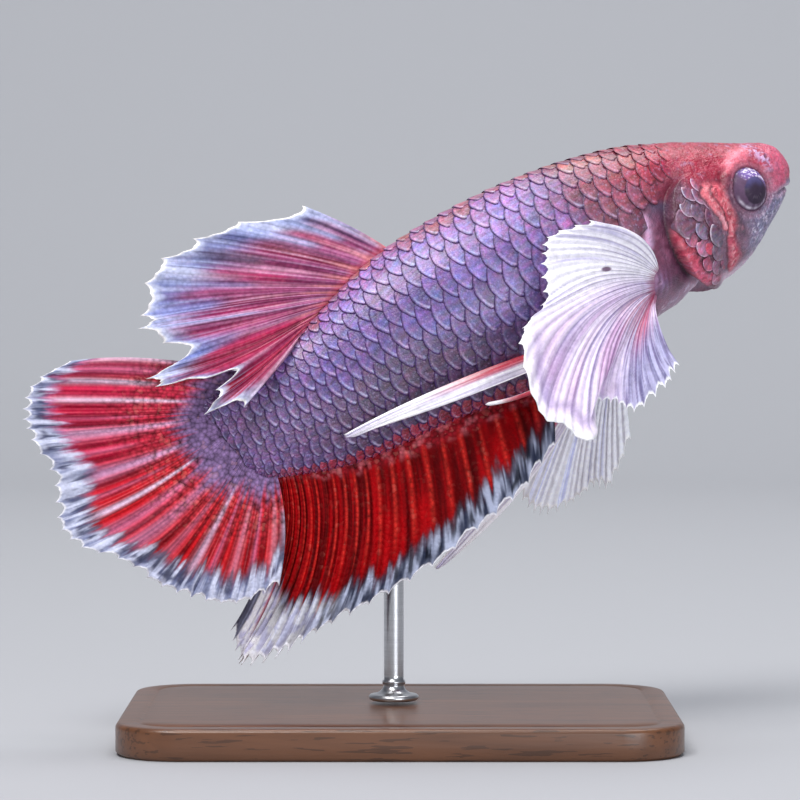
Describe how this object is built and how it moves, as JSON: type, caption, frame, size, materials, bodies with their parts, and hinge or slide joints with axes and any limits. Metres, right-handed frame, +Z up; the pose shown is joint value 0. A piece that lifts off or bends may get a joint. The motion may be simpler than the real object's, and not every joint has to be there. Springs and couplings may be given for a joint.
{
  "type": "betta fish model on a display stand",
  "caption": "Still, life-size model of a male short-tailed betta fish with large white pectoral fins, swimming upwards, held by one rod on a flat base.",
  "frame": {"origin": "middle of the underside of the stand's base", "axes": "+Z up, +X towards the fish's snout, so that its right side faces -Y"},
  "size_m": [0.0616, 0.032, 0.0477],
  "materials": {
    "skin": "wet, scaled skin: red head, lavender flank with dark scale edges",
    "eye": "wet and glossy, violet-silver iris round a blue-black pupil",
    "dorsal_fin": "satin membrane, rose streaks fading to a blue-white edge",
    "tail_fin": "satin red membrane with lavender rays and a blue-white edge",
    "anal_fin": "satin deep red membrane, grey and white edge",
    "white_fin": "satin white membrane with lavender shading",
    "stand_wood": "satin dark walnut",
    "stand_steel": "brushed"
  },
  "bodies": {
    "root": {"head": "skin", "lower_jaw": "skin", "gill_cover_right": "skin", "gill_cover_left": "skin", "trunk": "skin", "tail_stalk": "skin", "eye_right": "eye", "eye_left": "eye", "dorsal_fin": "dorsal_fin", "tail_fin": "tail_fin", "anal_fin": "anal_fin", "pectoral_fin_right": "white_fin", "pectoral_fin_left": "white_fin", "pelvic_fin_right": "white_fin", "pelvic_fin_left": "white_fin", "stand_base": "stand_wood", "stand_rod": "stand_steel"}
  },
  "joints": []
}
